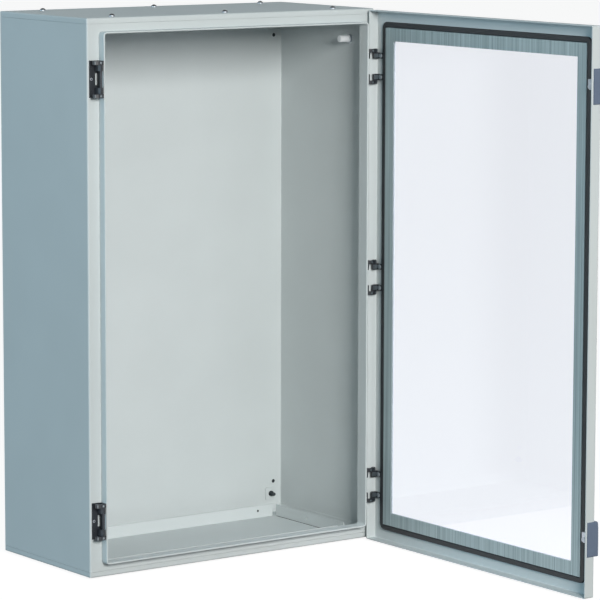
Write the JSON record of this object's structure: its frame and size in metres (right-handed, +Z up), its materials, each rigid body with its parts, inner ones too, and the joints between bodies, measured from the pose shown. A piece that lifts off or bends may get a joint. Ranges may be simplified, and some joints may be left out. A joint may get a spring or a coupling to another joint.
{
  "type": "steel wall enclosure",
  "caption": "Wall-mounted sheet-steel enclosure with a glazed hinged door, edge locks, folded sealing lip and cable entry plates, shown with the door open.",
  "frame": {"origin": "centre of the rear face, between the four wall-fixing holes", "axes": "+X right, +Y rearwards into the wall, +Z up; the front faces -Y"},
  "size_m": [0.611, 0.888, 0.959],
  "materials": {
    "light_grey_paint": "satin",
    "black_foam": "matte",
    "black_gasket": "satin",
    "dark_cap_bolt": "gloss",
    "zinc_plated_steel": "satin",
    "grey_cap_nut": "satin",
    "white_plastic": "gloss",
    "black_fitting": "satin",
    "clear_pane": "polished",
    "grey_green_rail": "brushed",
    "slate_plastic": "satin",
    "die_cast_zinc": "satin"
  },
  "bodies": {
    "cabinet": {"body_shell": "light_grey_paint", "sealing_lip": "light_grey_paint", "top_pan": "light_grey_paint", "bottom_pan": "light_grey_paint", "top_entry_plate": "light_grey_paint", "top_entry_seal": "black_foam", "top_plate_bolts": "dark_cap_bolt", "top_plate_nuts": "zinc_plated_steel", "bottom_entry_plate": "light_grey_paint", "bottom_entry_seal": "black_foam", "bottom_plate_bolts": "dark_cap_bolt", "bottom_plate_nuts": "zinc_plated_steel", "mounting_stud_pads": "light_grey_paint", "mounting_studs": "zinc_plated_steel", "earth_stud": "zinc_plated_steel", "earth_stud_cap": "white_plastic", "hinge_base_upper": "black_fitting", "hinge_base_middle": "black_fitting", "hinge_base_lower": "black_fitting", "hinge_base_screws": "zinc_plated_steel", "hinge_pins": "zinc_plated_steel", "strike_base_upper": "black_fitting", "strike_base_lower": "black_fitting", "strike_pins": "zinc_plated_steel", "strike_rods": "zinc_plated_steel", "strike_screws": "zinc_plated_steel"},
    "door": {"door_panel": "light_grey_paint", "door_gasket": "black_gasket", "window_pane": "clear_pane", "window_tape": "black_foam", "glazing_rail_top": "grey_green_rail", "glazing_rail_bottom": "grey_green_rail", "glazing_rail_hinge_side": "grey_green_rail", "glazing_rail_lock_side": "grey_green_rail", "hinge_knuckles_upper": "black_fitting", "hinge_knuckles_middle": "black_fitting", "hinge_knuckles_lower": "black_fitting", "knuckle_nuts": "grey_cap_nut", "lock_housing_upper": "slate_plastic", "lock_housing_lower": "slate_plastic", "lock_ring_nuts": "zinc_plated_steel"},
    "upper_lock": {"lock_core_upper": "die_cast_zinc", "lock_cam_upper": "zinc_plated_steel", "lock_cam_screw_upper": "zinc_plated_steel"},
    "lower_lock": {"lock_core_lower": "die_cast_zinc", "lock_cam_lower": "zinc_plated_steel", "lock_cam_screw_lower": "zinc_plated_steel"}
  },
  "joints": [
    {"name": "door_hinge", "type": "hinge", "parent": "cabinet", "child": "door", "pos_m": [0.2935, -0.293, 0], "axis": [0, 0, 1], "range_deg": [-90, 30]},
    {"name": "upper_lock_turn", "type": "hinge", "parent": "door", "child": "upper_lock", "pos_m": [0.2865, -0.8771, 0.3735], "axis": [-1, 0, 0], "range_deg": [0, 90]},
    {"name": "lower_lock_turn", "type": "hinge", "parent": "door", "child": "lower_lock", "pos_m": [0.2865, -0.8771, -0.3765], "axis": [-1, 0, 0], "range_deg": [0, 90]}
  ]
}
